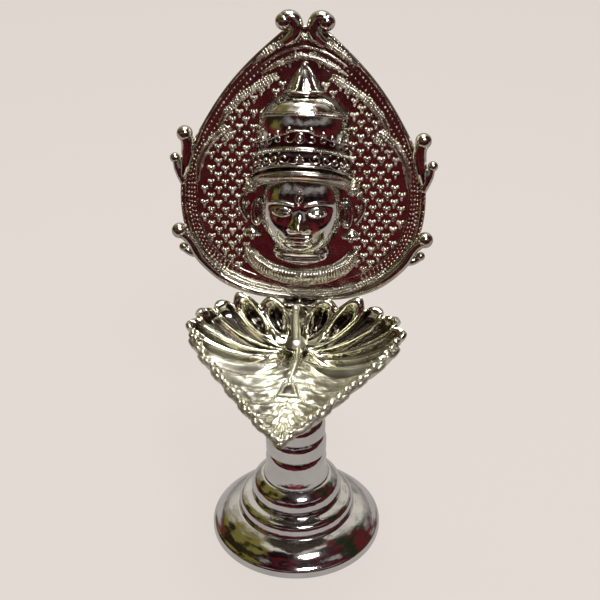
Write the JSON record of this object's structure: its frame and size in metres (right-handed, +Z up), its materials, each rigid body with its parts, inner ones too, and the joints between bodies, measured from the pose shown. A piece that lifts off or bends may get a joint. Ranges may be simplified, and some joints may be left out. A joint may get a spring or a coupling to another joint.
{
  "type": "standing oil lamp",
  "caption": "Plated metal oil lamp on a stepped foot, with a fluted shell dish, an upright wick pin and a leaf-shaped back plate carrying a crowned mask.",
  "frame": {"origin": "on the ground, under the middle of the lamp's outline seen from above", "axes": "+Z up along the stem, -Y towards the front where the spout points, +X to the right seen from the front"},
  "size_m": [0.0746, 0.0772, 0.1506],
  "materials": {
    "silver_plate": "bright silver-coloured plating, mirror polished, over a white metal casting",
    "dish_plate": "bright plating with a faint warm green cast and a slightly uneven cast surface",
    "fastener_steel": "plain turned steel",
    "rivet_metal": "dull peened heads"
  },
  "bodies": {
    "root": {"foot": "silver_plate", "stem": "silver_plate", "dish": "dish_plate", "tie_rod": "fastener_steel", "foot_washer": "fastener_steel", "foot_nut": "fastener_steel", "dish_washer": "dish_plate", "wick_pin": "silver_plate", "back_plate": "silver_plate", "face_mask": "silver_plate", "brow_band": "silver_plate", "crown": "silver_plate", "crown_finial": "silver_plate", "necklace": "silver_plate", "earring_left": "silver_plate", "earring_right": "silver_plate", "plate_screw_upper": "fastener_steel", "plate_screw_lower": "fastener_steel", "mask_rivet_left": "rivet_metal", "mask_rivet_right": "rivet_metal", "crown_rivet": "rivet_metal"}
  },
  "joints": []
}
